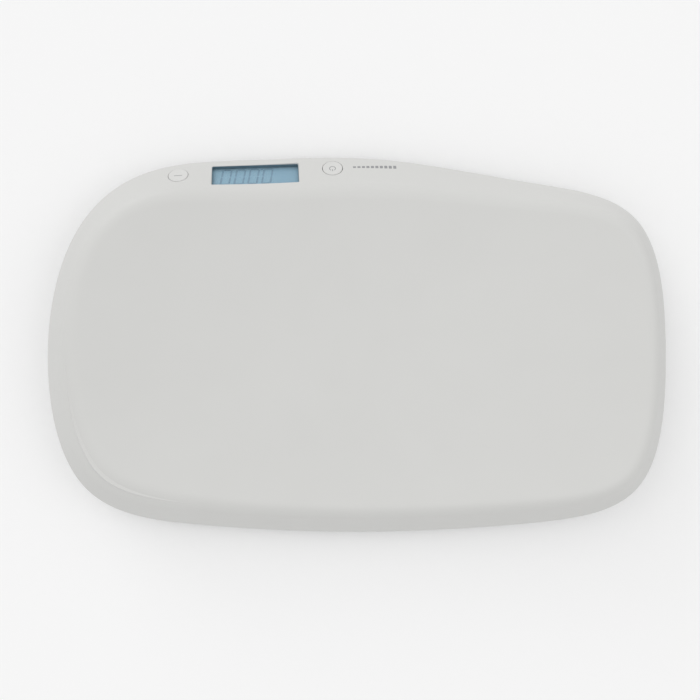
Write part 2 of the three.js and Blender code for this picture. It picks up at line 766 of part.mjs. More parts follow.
function keySwitch() {
  const half = SWITCH.side / 2;
  const body = block(-half, half, -half, half, PCB.top + CLEARANCE, SWITCH.top);
  return cut(body, [post(SWITCH.well, SWITCH.wellBottom, SWITCH.top + 1, 0, 0, 12)]);
}

function keys() {
  KEYS.forEach((key) => {
    const place = keyPlace(key);
    const plunger = post(PLUNGER.radius, PLUNGER.bottom, PLUNGER.top, 0, 0, 10);
    add(`${key.name}_button`, keyCap(place.z), 'key', panel).position.set(place.x, place.y, 0);
    add(`${key.name}_switch`, keySwitch(), 'insulator', panel).position.set(place.x, place.y, 0);
    add(`${key.name}_switch_plunger`, plunger, 'insulator', panel).position.set(place.x, place.y, 0);
  });
}

// ---- Wires -----------------------------------------------------------------------------

// A wire through the given points, in a straight line out of each end.
function wire(name, points, radius, look) {
  const section = new THREE.Shape();
  for (let i = 0; i < WIRE_SIDES; i += 1) {
    const angle = (2 * Math.PI * i) / WIRE_SIDES;
    const method = i === 0 ? 'moveTo' : 'lineTo';
    section[method](radius * Math.cos(angle), radius * Math.sin(angle));
  }
  const extrudePath = new THREE.CatmullRomCurve3(points);
  const options = { steps: WIRE_STEPS, bevelEnabled: false, extrudePath };
  add(name, new THREE.ExtrudeGeometry(section, options), look);
}

function boardPoint(x, y, depth) {
  return new THREE.Vector3(x, y, PCB.top - PCB.thickness - depth).applyMatrix4(PANEL);
}

function routeTo(start, route, boardX, boardY) {
  return [
    ...[...start, ...route].map((point) => new THREE.Vector3(...point)),
    boardPoint(boardX, boardY, WIRE_APPROACH),
    boardPoint(boardX, boardY, 0.5),
  ];
}

// Each load cell's cable rises through its pocket's ceiling and runs to the board.
function sensorWires() {
  FEET.forEach(([footX, y], i) => {
    const { board, route } = SENSOR_ROUTES[i];
    const x = footX - Math.sign(footX) * SENSOR_EXIT.offset;
    const { bottom, top } = SENSOR_EXIT;
    const riser = [[x, y, bottom], [x, y, (bottom + top) / 2], [x, y, top]];
    const points = routeTo(riser, route, board, SENSOR_WIRE.board);
    wire(`sensor_cable_${i + 1}`, points, SENSOR_WIRE.radius, 'wire');
  });
}

// The two leads start at the solder tabs that stand out of the battery bay's roof.
function batteryWires() {
  Object.entries(BATTERY_ROUTES).forEach(([name, { side, exit, board, look, route }]) => {
    const start = exit.map((x) => [x, side * AAA.pitch, BATTERY_EXIT_Z]);
    const points = routeTo(start, route, board, BATTERY_WIRE.board);
    wire(`battery_lead_${name}`, points, BATTERY_WIRE.radius, look);
  });
}

trayShell();
baseShell();
caseScrews();
feet();
batteryDoor();
batteries();
contacts();
display();
circuitBoard();
keys();
sensorWires();
batteryWires();

export default scale;
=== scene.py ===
"""Looks for the tray scale: fine meshes, materials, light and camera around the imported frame.

The shapes are made in millimetres, from the same design values as the CAD model, and
become metres when a mesh is made.
"""

import math

import bmesh
import bpy
from mathutils import Matrix, Vector
from mathutils.bvhtree import BVHTree
from mathutils.interpolate import poly_3d_calc


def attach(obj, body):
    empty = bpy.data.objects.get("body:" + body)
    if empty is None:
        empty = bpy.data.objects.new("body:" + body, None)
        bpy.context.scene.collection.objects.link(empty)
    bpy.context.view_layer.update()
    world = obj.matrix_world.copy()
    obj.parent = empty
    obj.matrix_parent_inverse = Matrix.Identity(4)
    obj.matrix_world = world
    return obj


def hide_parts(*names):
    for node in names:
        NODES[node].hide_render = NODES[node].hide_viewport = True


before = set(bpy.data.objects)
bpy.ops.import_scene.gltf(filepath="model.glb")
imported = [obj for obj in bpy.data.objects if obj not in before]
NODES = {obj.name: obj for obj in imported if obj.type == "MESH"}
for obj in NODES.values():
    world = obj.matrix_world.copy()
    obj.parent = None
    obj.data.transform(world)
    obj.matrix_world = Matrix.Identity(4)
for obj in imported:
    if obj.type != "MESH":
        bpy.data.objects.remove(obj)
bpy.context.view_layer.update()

MM = 0.001

# ---- Design values, in millimetres ---------------------------------------------------

# Control points of the rim's closed B-spline: x, y, band width, rounding of the crease.
RIM = (
    (86, -157, 34, 8),
    (176, -156, 27, 8),
    (241, -109, 20, 8),
    (268, -1, 19, 9),
    (246, 140, 22, 20),
    (134, 155, 19.5, 9),
    (-5, 163, 19, 8),
    (-158, 153, 18.5, 8),
    (-255, 136, 16.5, 8),
    (-263, 5, 12, 7),
    (-253, -123, 14, 7),
    (-150, -136, 20, 8),
    (-18, -164, 31, 8),
)
STATIONS_PER_POINT = 24

FLOOR_MIDDLE_Z = 41
FLOOR_END_RISE = 20
FLOOR_END_X = 240
FLOOR_END_POWER = 2.2
FLOOR_SIDE_RISE = 5
FLOOR_SIDE_Y = 130
FLOOR_SIDE_POWER = 3
RIM_MIDDLE_Z = 20
RIM_END_RISE = 16
RIM_END_X = 260
RIM_END_POWER = 2.4
SHELL = 2.5
RIM_ROUNDING = 2
LIP = 5
EDGE = 0.35  # small rounding where the lip and the base's edge meet

BASE_BOTTOM_Z = 8
BASE_BOTTOM_SCALE = 0.77
BASE_BULGE_SCALE = 0.93
BASE_BULGE_RISE = 1
BASE_SHRINK = 0.006  # what the scale loses per millimetre into the wall
BASE_INSET = 0.8
SHADOW_GAP = 0.4
TONGUE_HEIGHT = 2
TONGUE_THICKNESS = 1.5
CLEARANCE = 0.3

# Where the case screws and the feet stand.
CASE_SCREWS = ((188, -6), (80, 98), (-80, 98), (-188, -6), (-80, -98), (80, -98))
FEET = ((145, -72), (145, 72), (-145, 72), (-145, -72))

# Screw bosses: the base's with its counterbore, and the tray's with its pilot hole.
BASE_BOSS_RADIUS = 5
BASE_BOSS_TOP = 16
SCREW_LEDGE = 12
SCREW_HOLE = 1.8
SCREW_CROSS = (1.7, 0.35)  # half length and half width of the recess's arms
TRAY_BOSS_RADIUS = 4
TRAY_PILOT_DEPTH = 14

# The base's foot pockets.
POCKET_INNER = 22
POCKET_OUTER = 24
POCKET_CEILING = 19
POCKET_TOP = 21.5
POCKET_HOLE = 10

# Half sizes of the battery bay and its door, and the bay's other heights.
BAY_X = 28
BAY_Y = 17.5
BAY_TOP = 22
BAY_WALL = 1.6
DOOR_X = 30
DOOR_Y = 19
DOOR_THICKNESS = 2
DOOR_CORNER = 1.0
DOOR_GAP = 0.3
DOOR_FRAME = 3.7
DOOR_FRAME_TOP = 12.5

# The door's hooks: their span in x, their rib, their reach in y and their heights.
HOOK_X = (10, 18)
HOOK_RIB_Y = (15.3, 17.2)
HOOK_REACH = 21.5
HOOK_Z = (10.6, 12)
HOOK_MARGIN = 0.5
HOOK_SLOT_REACH = 22
HOOK_SLOT_TOP = 13.2
HOOK_BLOCK = (21, 24, 14.5)  # the block round the slots: half width, reach and top
LATCH_X = 5
LATCH_Y = (-17.2, -15.6)
LATCH_TOP = 12.5

# The cells, and the slots over them for the solder tabs.
CELL_PITCH = 11.2
CELL_Z = 16.2
TAB_SLOT_X = 27.4
TAB_SLOT_HALF = (0.9, 2)

# The display window (width, height, corner) and the stack under it, in the panel's frame.
DISPLAY_X = 86
DISPLAY_INSET = 14.3
WINDOW = (73, 23.5, 1.2)
PANE = (78, 28, 2.0)
PANE_TOP = -3
PANE_THICKNESS = 1
LCD = (76, 26.6, 0.5)
LCD_TOP = -4.3
LCD_THICKNESS = 2

# The circuit board's posts, in the panel's frame.
PCB_TOP = -10.2
PCB_POST_X = 48
PCB_POST_RADIUS = 3
PCB_PILOT = 1.3
PCB_PILOT_DEPTH = 6

# The keys: x along the rim, and the sizes of a cap, its hole, its flange and its stem.
KEYS = {"tare": 152.1, "unit": 20.4}
KEY_INSET = 10.6
KEY_HOLE = 8.6
KEY_RADIUS = 8.3
KEY_FLANGE = 10
KEY_FLANGE_DEPTH = 3.9
KEY_STEM = 2.5
KEY_STEM_END = -6


# ---- Small helpers -------------------------------------------------------------------


def new_object(name, verts, faces, material, scale=MM):
    mesh = bpy.data.meshes.new(name)
    mesh.from_pydata([tuple(Vector(v) * scale) for v in verts], [], faces)
    mesh.validate()
    obj = bpy.data.objects.new(name, mesh)
    bpy.context.scene.collection.objects.link(obj)
    if material:
        mesh.materials.append(material)
    return obj


def outward(obj):
    """Turn every face outwards, whatever order its profile was written in."""
    work = bmesh.new()
    work.from_mesh(obj.data)
    bmesh.ops.recalc_face_normals(work, faces=work.faces)
    work.to_mesh(obj.data)
    work.free()
    return obj


def smooth(obj, degrees=32):
    """Smooth shading, kept sharp where two faces meet at more than the given angle."""
    work = bmesh.new()
    work.from_mesh(obj.data)
    limit = math.radians(degrees)
    for face in work.faces:
        face.smooth = True
    for edge in work.edges:
        edge.smooth = len(edge.link_faces) == 2 and edge.calc_face_angle(0) < limit
    work.to_mesh(obj.data)
    work.free()
    return obj


def belongs(obj, body, slot, *nodes):
    """Say which body a piece rides on and the nodes it stands for. The slot argument is not used.
    """
    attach(obj, body)
    if nodes:
        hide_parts(*nodes)
    return obj


def applied(obj):
    """Bake an object's modifiers into its mesh."""
    graph = bpy.context.evaluated_depsgraph_get()
    mesh = bpy.data.meshes.new_from_object(obj.evaluated_get(graph))
    obj.modifiers.clear()
    old = obj.data
    obj.data = mesh
    bpy.data.meshes.remove(old)
    return obj


def boolean(obj, tools, operation):
    """Join or cut an object with several others, which are used up."""
    for tool in tools:
        modifier = obj.modifiers.new("cut", "BOOLEAN")
        modifier.operation = operation
        modifier.solver = "MANIFOLD"
        modifier.object = tool
    applied(obj)
    for tool in tools:
        bpy.data.objects.remove(tool)
    obj.data.materials.clear()
    return obj


def skin(name, start, rings, end, material=None):
    """A closed mesh over rings of equal length, with a point at each end."""
    count = len(rings[0])
    verts = [start] + [p for ring in rings for p in ring] + [end]
    last = len(verts) - 1
    faces = []
    for i in range(count):
        j = (i + 1) % count
        faces.append((0, 1 + i, 1 + j))
        faces.append((last, last - count + j, last - count + i))
        for row in range(len(rings) - 1):
            low = 1 + row * count
            high = low + count
            faces.append((low + i, high + i, high + j, low + j))
    return outward(new_object(name, verts, faces, material))


def circle(radius, x=0, y=0, sides=96):
    angles = [2 * math.pi * k / sides for k in range(sides)]
    return [(x + radius * math.cos(a), y + radius * math.sin(a)) for a in angles]


def turned(name, profile, material=None, place=(0, 0, 0), sides=64):
    """A turned piece from a profile of (radius, height) pairs that starts and ends on the axis."""
    rings = []
    for radius, z in profile[1:-1]:
        rings.append([Vector((x, y, z)) for x, y in circle(radius, sides=sides)])
    start = Vector((0, 0, profile[0][1]))
    end = Vector((0, 0, profile[-1][1]))
    obj = skin(name, start, rings, end, material)
    obj.data.transform(Matrix.Translation(Vector(place) * MM))
    return obj


def rounded(profile, radius, steps=3):
    """The same profile with its inner corners turned into small arcs."""
    result = [profile[0]]
    for before, corner, after in zip(profile, profile[1:], profile[2:]):
        c = Vector(corner)
        a = Vector(before) - c
        b = Vector(after) - c
        reach = min(radius, a.length * 0.45, b.length * 0.45)
        if a.length < 1e-6 or b.length < 1e-6 or a.angle(b) > 3.0:
            result.append(corner)
            continue
        p = c + a.normalized() * reach
        q = c + b.normalized() * reach
        for k in range(steps + 1):
            t = k / steps
            result.append(tuple(p.lerp(c, t).lerp(c.lerp(q, t), t)))
    return result + [profile[-1]]


def ring_outline(width, height, corner, steps=6):
    """A rectangle with round corners, as a closed list of (x, y)."""
    points = []
    for k, (sx, sy) in enumerate(((1, -1), (1, 1), (-1, 1), (-1, -1))):
        cx = sx * (width / 2 - corner)
        cy = sy * (height / 2 - corner)
        for i in range(steps + 1):
            a = math.radians(-90 + 90 * k + 90 * i / steps)
            points.append((cx + corner * math.cos(a), cy + corner * math.sin(a)))
    return points


def slab(name, width, height, corner, top, thickness, edge=0.3, material=None):
    """A flat plate with round corners in plan and softened edges, its top at a height."""
    levels = (
        (edge, top - thickness),
        (edge * 0.3, top - thickness + edge * 0.3),
        (0, top - thickness + edge),
        (0, top - edge),
        (edge * 0.3, top - edge * 0.3),
        (edge, top),
    )
    rings = []
    for inset, z in levels:
        outline = ring_outline(width - 2 * inset, height - 2 * inset, max(corner - inset, 0.05))
        rings.append([Vector((x, y, z)) for x, y in outline])
    bottom = Vector((0, 0, top - thickness))
    return skin(name, bottom, rings, Vector((0, 0, top)), material)


def bar(radius, bottom, top, x=0, y=0, sides=32):
    """An upright round bar, to join or cut with."""
    profile = ((0, bottom), (radius, bottom), (radius, top), (0, top))
    return turned("tool", profile, place=(x, y, 0), sides=sides)


def box(x0, x1, y0, y1, z0, z1):
    """A block between two corners, to join or cut with."""
    verts = [(x, y, z) for x in (x0, x1) for y in (y0, y1) for z in (z0, z1)]
    faces = [(0, 1, 3, 2), (4, 6, 7, 5), (0, 4, 5, 1), (2, 3, 7, 6), (0, 2, 6, 4), (1, 5, 7, 3)]
    return outward(new_object("tool", verts, faces, None))


def bezier(a, control, b, t):
    """The point at t on the curve from a to b that leans towards its control point."""
    return a.lerp(control, t).lerp(control.lerp(b, t), t)


def spread(start, stop, count):
    """Evenly spaced numbers, both ends included."""
    return [start + (stop - start) * k / (count - 1) for k in range(count)]


# ---- The tray's surface --------------------------------------------------------------


def floor_height(x, y):
    end_rise = FLOOR_END_RISE * abs(x / FLOOR_END_X) ** FLOOR_END_POWER
    side_rise = FLOOR_SIDE_RISE * abs(y / FLOOR_SIDE_Y) ** FLOOR_SIDE_POWER
    return FLOOR_MIDDLE_Z + end_rise + side_rise


def rim_height(x):
    return RIM_MIDDLE_Z + RIM_END_RISE * abs(x / RIM_END_X) ** RIM_END_POWER


class Station:
    """The rim at parameter u, with the band's width and the crease's rounding there."""

    def __init__(self, u):
        first = math.floor(u)
        t = u - first
        s = 1 - t
        weights = (s**3, 3 * t**3 - 6 * t**2 + 4, 3 * s**3 - 6 * s**2 + 4, t**3)
        slopes = (-3 * s**2, 9 * t**2 - 12 * t, 12 * s - 9 * s**2, 3 * t**2)
        controls = [RIM[(first + k - 1) % len(RIM)] for k in range(4)]
        value = [sum(w * c[i] for w, c in zip(weights, controls)) / 6 for i in range(4)]
        dx, dy = (sum(w * c[i] for w, c in zip(slopes, controls)) for i in range(2))
        speed = math.hypot(dx, dy)
        self.x, self.y, self.width, self.rounding = value
        self.inward = (-dy / speed, dx / speed)
        self.rim_z = rim_height(self.x)
        crease = self.at(self.width, 0)
        self.crease_z = floor_height(crease.x, crease.y)
        self.angle = math.atan2(self.crease_z - self.rim_z, self.width)

    def at(self, inset, z):
        return Vector((self.x + self.inward[0] * inset, self.y + self.inward[1] * inset, z))

    def scaled(self, factor, z):
        return Vector((self.x * factor, self.y * factor, z))


def stations():
    count = len(RIM) * STATIONS_PER_POINT
    return [Station(i / STATIONS_PER_POINT) for i in range(count)]


def outer_section(st):
    """From the edge of the floor, over the band, to the foot of the lip."""
    cos, sin = math.cos(st.angle), math.sin(st.angle)
    slope_length = math.hypot(st.width, st.crease_z - st.rim_z)
    edge = st.at(st.width + st.rounding, 0)
    edge.z = floor_height(edge.x, edge.y)
    crease = st.at(st.width, st.crease_z)
    top = slope_length - st.rounding

    def along(distance):
        return st.at(distance * cos, st.rim_z + distance * sin)

    points = [bezier(edge, crease, along(top), t) for t in spread(0, 1, 11)]
    points += [along(d) for d in spread(top, RIM_ROUNDING, 9)[1:]]
    corner = st.at(0, st.rim_z)
    lip_top = st.at(0, st.rim_z - RIM_ROUNDING)
    points += [bezier(along(RIM_ROUNDING), corner, lip_top, t) for t in spread(0, 1, 7)[1:]]
    foot = st.rim_z - LIP
    points += [st.at(0, foot + EDGE), st.at(EDGE * 0.3, foot + EDGE * 0.3), st.at(EDGE, foot)]
    return points


def inner_section(st):
    """The tray's underside, from the foot of the lip in to the crease."""
    foot = st.rim_z - LIP
    under = st.rim_z + SHELL * math.tan(st.angle) - SHELL / math.cos(st.angle)
    crease = st.at(st.width + SHELL * math.tan(st.angle / 2), st.crease_z - SHELL)
    corner = st.at(SHELL, under)
    return [st.at(SHELL - EDGE, foot), st.at(SHELL, foot + EDGE)] + [
        corner.lerp(crease, t) for t in spread(0, 1, 4)
    ]


def rings_of(sections):
    """Sections round the rim, turned into closed rings of matching points."""
    return [list(ring) for ring in zip(*sections)]


def floor_rings(edge, scales, drop):
    rings = []
    for factor in scales:
        ring = []
        for point in edge:
            x, y = point.x * factor, point.y * factor
            ring.append(Vector((x, y, floor_height(x, y) - drop)))
        rings.append(ring)
    return rings


def tray_skin():
    all_stations = stations()
    outer = rings_of([outer_section(st) for st in all_stations])
    inner = rings_of([inner_section(st) for st in all_stations])
    scales = spread(0.06, 1, 16)
    rings = floor_rings(outer[0], scales[:-1], 0) + outer + inner
    rings += floor_rings(outer[0], scales[::-3], SHELL)
    top = Vector((0, 0, FLOOR_MIDDLE_Z))
    return skin("tray", top, rings, top - Vector((0, 0, SHELL)))


# ---- The panel's own frame: x to the reader's right, y up the slope, z out -----------


def front_station(x):
    """The parameter where the front of the rim crosses x, found by halving a span."""
    low, high = -1.0, 1.5
    for _ in range(40):
        middle = (low + high) / 2
        if Station(middle + len(RIM)).x < x:
            low = middle
        else:
            high = middle
    return low + len(RIM)


def on_band(u, inset):
    """The point of the edge band that far in from the rim at parameter u."""
    st = Station(u)
    return st.at(inset, st.rim_z + inset * math.tan(st.angle))


def panel_matrix():
    """The panel's frame: its origin is the middle of the display window, on the band."""
    u = front_station(DISPLAY_X)
    origin = on_band(u, DISPLAY_INSET)
    right = (on_band(u + 0.1, DISPLAY_INSET) - on_band(u - 0.1, DISPLAY_INSET)).normalized()
    up = on_band(u, DISPLAY_INSET + 1) - origin
    up = (up - right * up.dot(right)).normalized()
    out = right.cross(up)
    turn = Matrix((right, up, out)).transposed().to_4x4()
    return Matrix.Translation(origin * MM) @ turn


PANEL = panel_matrix()


def on_panel(obj):
    obj.data.transform(PANEL)
    return obj


def key_place(x):
    """Where the axis of the key at that x crosses the band, in the panel's frame."""
    local = PANEL.inverted() @ (on_band(front_station(x), KEY_INSET) * MM)
    return local.x / MM, local.y / MM


# ---- Materials -----------------------------------------------------------------------


NOISE_RANGE = (0.3, 0.7)  # where most of a noise texture's values lie


class Shader:
    """A node material: a Principled shader, and helpers that wire small details into it."""

    def __init__(self, name, color, roughness, metallic=0.0, specular=0.5):
        self.material = bpy.data.materials.new(name)
        self.material.use_nodes = True
        self.tree = self.material.node_tree
        self.shader = self.tree.nodes["Principled BSDF"]
        self.color = (*color, 1)
        self.shader.inputs["Base Color"].default_value = self.color
        self.shader.inputs["Roughness"].default_value = roughness
        self.shader.inputs["Metallic"].default_value = metallic
        self.shader.inputs["Specular IOR Level"].default_value = specular
        self.coords = self.tree.nodes.new("ShaderNodeTexCoord").outputs["Object"]
        self.bumps = None

    def link(self, source, target):
        self.tree.links.new(source, target)

    def set(self, name, value):
        self.shader.inputs[name].default_value = value
        return self

    def noise(self, scale, detail=2.0, stretch=None):
        node = self.tree.nodes.new("ShaderNodeTexNoise")
        node.inputs["Scale"].default_value = scale
        node.inputs["Detail"].default_value = detail
        source = self.coords
        if stretch:
            mapping = self.tree.nodes.new("ShaderNodeMapping")
            mapping.inputs["Scale"].default_value = stretch
            self.link(source, mapping.inputs["Vector"])
            source = mapping.outputs["Vector"]
        self.link(source, node.inputs["Vector"])
        return node.outputs["Fac"]

    def remap(self, value, low, high):
        node = self.tree.nodes.new("ShaderNodeMapRange")
        node.inputs["From Min"].default_value = NOISE_RANGE[0]
        node.inputs["From Max"].default_value = NOISE_RANGE[1]
        node.inputs["To Min"].default_value = low
        node.inputs["To Max"].default_value = high
        self.link(value, node.inputs["Value"])
        return node.outputs["Result"]

    def vary_roughness(self, scale, low, high, stretch=None):
        fac = self.noise(scale, 3.0, stretch)
        self.link(self.remap(fac, low, high), self.shader.inputs["Roughness"])
        return self

    def vary_color(self, scale, other, amount=1.0, stretch=None):
        mix = self.tree.nodes.new("ShaderNodeMix")
        mix.data_type = "RGBA"
        # A mix node has sockets for every data type: these are the ones for colours.
        factor, first, second = (mix.inputs[i] for i in (0, 6, 7))
        first.default_value = self.color
        second.default_value = (*other, 1)
        self.link(self.remap(self.noise(scale, 3.0, stretch), 0.0, amount), factor)
        self.link(mix.outputs[2], self.shader.inputs["Base Color"])
        return self

    def grain(self, scale, depth, stretch=None, detail=2.0):
        """A fine bump, its depth in metres. Several calls add up."""
        bump = self.tree.nodes.new("ShaderNodeBump")
        bump.inputs["Strength"].default_value = 1.0
        bump.inputs["Distance"].default_value = depth
        self.link(self.noise(scale, detail, stretch), bump.inputs["Height"])
        if self.bumps:
            self.link(self.bumps, bump.inputs["Normal"])
        self.bumps = bump.outputs["Normal"]
        self.link(self.bumps, self.shader.inputs["Normal"])
        return self


def tray_material():
    look = Shader("tray_plastic", (0.640, 0.640, 0.625), 0.48, specular=0.35)
    look.vary_color(9, (0.629, 0.629, 0.614))
    look.vary_roughness(40, 0.44, 0.52)
    return look.grain(2600, 0.000012).grain(25, 0.00003).material


def base_material():
    look = Shader("base_plastic", (0.60, 0.605, 0.595), 0.55, specular=0.35)
    look.vary_color(12, (0.585, 0.59, 0.58))
    look.vary_roughness(60, 0.50, 0.60)
    return look.grain(1800, 0.00003).material


def key_material():
    look = Shader("key_plastic", (0.65, 0.65, 0.636), 0.40, specular=0.4)
    look.vary_roughness(90, 0.36, 0.44)
    return look.grain(3000, 0.000010).material


def print_material():
    look = Shader("print_grey", (0.27, 0.275, 0.28), 0.5)
    return look.vary_color(900, (0.31, 0.315, 0.32)).material


def rubber_material():
    look = Shader("rubber", (0.10, 0.103, 0.107), 0.85, specular=0.25)
    look.vary_color(300, (0.085, 0.088, 0.092))
    return look.grain(1500, 0.00006).material


def window_material():
    look = Shader("window", (0.60, 0.74, 0.82), 0.08, specular=0.5)
    look.set("Alpha", 0.10)
    look.vary_roughness(35, 0.06, 0.12)
    return look.grain(20, 0.00001).material


def lcd_material():
    look = Shader("lcd_glass", (0.20, 0.37, 0.49), 0.35, specular=0.3)
    look.vary_color(60, (0.225, 0.40, 0.51))
    return look.grain(900, 0.000004).material


def digit_material():
    look = Shader("lcd_segment", (0.115, 0.235, 0.33), 0.35, specular=0.3)
    return look.vary_color(400, (0.125, 0.25, 0.345)).material


# Painted shade: a dark blue-grey that stands for the shade in the display window's recess.
def window_shade_material():
    look = Shader("window_painted_shade", (0.09, 0.15, 0.19), 0.45, specular=0.3)
    return look.vary_color(50, (0.105, 0.17, 0.21)).material


def frame_material():
    look = Shader("frame_plastic", (0.82, 0.81, 0.77), 0.55, specular=0.35)
    look.vary_color(30, (0.79, 0.78, 0.74))
    return look.grain(1500, 0.00002).material


def guide_material():
    look = Shader("light_guide", (0.80, 0.86, 0.90), 0.3)
    look.vary_roughness(80, 0.25, 0.4)
    return look.grain(1200, 0.00002).material


def strip_material():
    look = Shader("strip_rubber", (0.35, 0.33, 0.33), 0.7, specular=0.3)
    look.vary_color(5, (0.03, 0.03, 0.03), stretch=(600, 1, 1))
    return look.grain(900, 0.00002).material


def board_material():
    look = Shader("circuit_board", (0.03, 0.15, 0.07), 0.38, specular=0.5)
    look.vary_color(350, (0.05, 0.22, 0.10), stretch=(1, 3, 1))
    look.vary_roughness(120, 0.30, 0.48)
    return look.grain(400, 0.00002).material


def black_material():
    look = Shader("black_plastic", (0.022, 0.023, 0.025), 0.5, specular=0.4)
    look.vary_roughness(150, 0.42, 0.58)
    return look.grain(1800, 0.00002).material


def steel_material(name, color, roughness):
    look = Shader(name, color, roughness, metallic=1.0)
    look.vary_roughness(220, roughness - 0.07, roughness + 0.09)
    look.vary_color(120, tuple(0.88 * c for c in color))
    return look.grain(1500, 0.00001).material


def cell_material():
    look = Shader("cell_can", (0.045, 0.14, 0.27), 0.32, specular=0.5)
    look.vary_roughness(70, 0.27, 0.38)
    return look.grain(200, 0.00001).material


def wire_material(name, color):
    look = Shader(name, color, 0.5, specular=0.35)
    look.vary_roughness(200, 0.42, 0.58)
    return look.grain(900, 0.00002).material


LOOKS = {
    "tray_plastic": tray_material(),
    "base_plastic": base_material(),
    "key_plastic": key_material(),
    "rubber": rubber_material(),
    "window": window_material(),
    "lcd_glass": lcd_material(),
    "frame_plastic": frame_material(),
    "light_guide": guide_material(),
    "strip_rubber": strip_material(),
    "circuit_board": board_material(),
    "black_plastic": black_material(),
    "plated_steel": steel_material("plated_steel", (0.62, 0.63, 0.64), 0.30),
    "sensor_steel": steel_material("sensor_steel", (0.55, 0.56, 0.57), 0.38),
    "cell_can": cell_material(),
    "cable_sheath": wire_material("cable_sheath", (0.62, 0.62, 0.60)),
    "black_lead": wire_material("black_lead", (0.02, 0.02, 0.022)),
    "red_lead": wire_material("red_lead", (0.42, 0.025, 0.02)),
    "print_grey": print_material(),
    "lcd_segment": digit_material(),
    "window_painted_shade": window_shade_material(),
}


# ---- Tray ----------------------------------------------------------------------------


def surface_of(obj):
    """What a point near the mesh needs to look up its smooth normal."""
    mesh = obj.data
    verts = [v.co.copy() for v in mesh.vertices]
    normals = [v.normal.copy() for v in mesh.vertices]
    polygons = [tuple(p.vertices) for p in mesh.polygons]
    return BVHTree.FromPolygons(verts, polygons), verts, normals, polygons


def smooth_from(obj, surface, degrees=25):
    """Shade a cut mesh with the normals of the surface it was cut from."""
    tree, verts, normals, polygons = surface
    mesh = obj.data
    limit = math.cos(math.radians(degrees))
    found = {}
    for vertex in mesh.vertices:
        place, _, index, _ = tree.find_nearest(vertex.co)
        corners = [verts[i] for i in polygons[index]]
        weights = poly_3d_calc(corners, place)
        normal = sum((w * normals[i] for w, i in zip(weights, polygons[index])), Vector())
        found[vertex.index] = normal.normalized()
    custom = []
    for polygon in mesh.polygons:
        polygon.use_smooth = True
        for index in polygon.vertices:
            near = found[index].dot(polygon.normal) > limit
            custom.append(found[index] if near else polygon.normal.copy())
    mesh.normals_split_custom_set([tuple(n) for n in custom])
    return obj


def opening_cutter(outline, bottom, flare_from, top, flare):
    """A cutter for the panel that widens above a height, so that the cut has a soft edge."""
    center = Vector((sum(x for x, _ in outline), sum(y for _, y in outline), 0)) / len(outline)
    rings = []
    for z, grow in ((bottom, 0), (flare_from, 0), (top, flare)):
        ring = []
        for x, y in outline:
            away = Vector((x, y, 0)) - center
            ring.append(Vector((x, y, z)) + away.normalized() * grow)
        rings.append(ring)
    start = center + Vector((0, 0, bottom))
    return on_panel(skin("tool", start, rings, center + Vector((0, 0, top))))


KEY_PLACES = {name: key_place(x) for name, x in KEYS.items()}
TRAY_SKIN = tray_skin()
SURFACE = surface_of(TRAY_SKIN)


def tray_bosses():
    """The bosses for the case screws and the posts for the circuit board."""
    bosses = []
    for x, y in CASE_SCREWS:
        top = floor_height(x, y) - SHELL / 2
        bosses.append(bar(TRAY_BOSS_RADIUS, BASE_BOSS_TOP + CLEARANCE, top, x, y))
    for side in (-1, 1):
        post = bar(PCB_POST_RADIUS, PCB_TOP + CLEARANCE, -SHELL / 2, side * PCB_POST_X)
        bosses.append(on_panel(post))
    return bosses


def tray_openings():
    """The pilot holes, the display window and the two key holes."""
    tools = []
    for x, y in CASE_SCREWS:
        tools.append(bar(SCREW_HOLE, BASE_BOSS_TOP, BASE_BOSS_TOP + TRAY_PILOT_DEPTH, x, y))
    for side in (-1, 1):
        pilot = bar(PCB_PILOT, PCB_TOP, PCB_TOP + PCB_PILOT_DEPTH, side * PCB_POST_X)
        tools.append(on_panel(pilot))
    window = ring_outline(*WINDOW)
    tools.append(opening_cutter(window, bottom=-6, flare_from=-0.35, top=2, flare=1.5))
    for x, y in KEY_PLACES.values():
        hole = circle(KEY_HOLE, x, y)
        tools.append(opening_cutter(hole, bottom=-5, flare_from=-0.1, top=2, flare=0.4))
    return tools


def tray():
    obj = boolean(TRAY_SKIN, tray_bosses(), "UNION")
    boolean(obj, tray_openings(), "DIFFERENCE")
    smooth_from(obj, SURFACE)
    obj.name = "tray_look"
    obj.data.materials.append(LOOKS["tray_plastic"])
    belongs(obj, "housing", "tray_plastic", "tray_shell")


PROBE_HEIGHT = 8


def panel_height(x, y):
    """How high the tray's surface lies above a point of the panel's plane."""
    tree = SURFACE[0]
    start = PANEL @ (Vector((x, y, PROBE_HEIGHT)) * MM)
    hit = tree.ray_cast(start, -(PANEL.to_3x3() @ Vector((0, 0, 1))))
    return (PANEL.inverted() @ hit[0]).z / MM


PRINT_DEPTH = 0.15
PRINT_LIFT = 0.03
BAR_COUNT = 10
BAR_FIRST_X = -84
BAR_PITCH = 3.8
BAR_WIDTH = 2.6
BAR_HEIGHT = 2.0
BAR_GROWTH = 0.2
BAR_BASE_Y = -4.4


def print_bars():
    """A plain row of printed bars that grow along the band, beside the unit key."""
    for k in range(BAR_COUNT):
        height = BAR_HEIGHT + BAR_GROWTH * k
        outline = ring_outline(BAR_WIDTH, height, corner=0.25, steps=3)
        x = BAR_FIRST_X - BAR_PITCH * k
        inlay(f"print_bar_{k + 1}", outline, x, BAR_BASE_Y + height / 2)


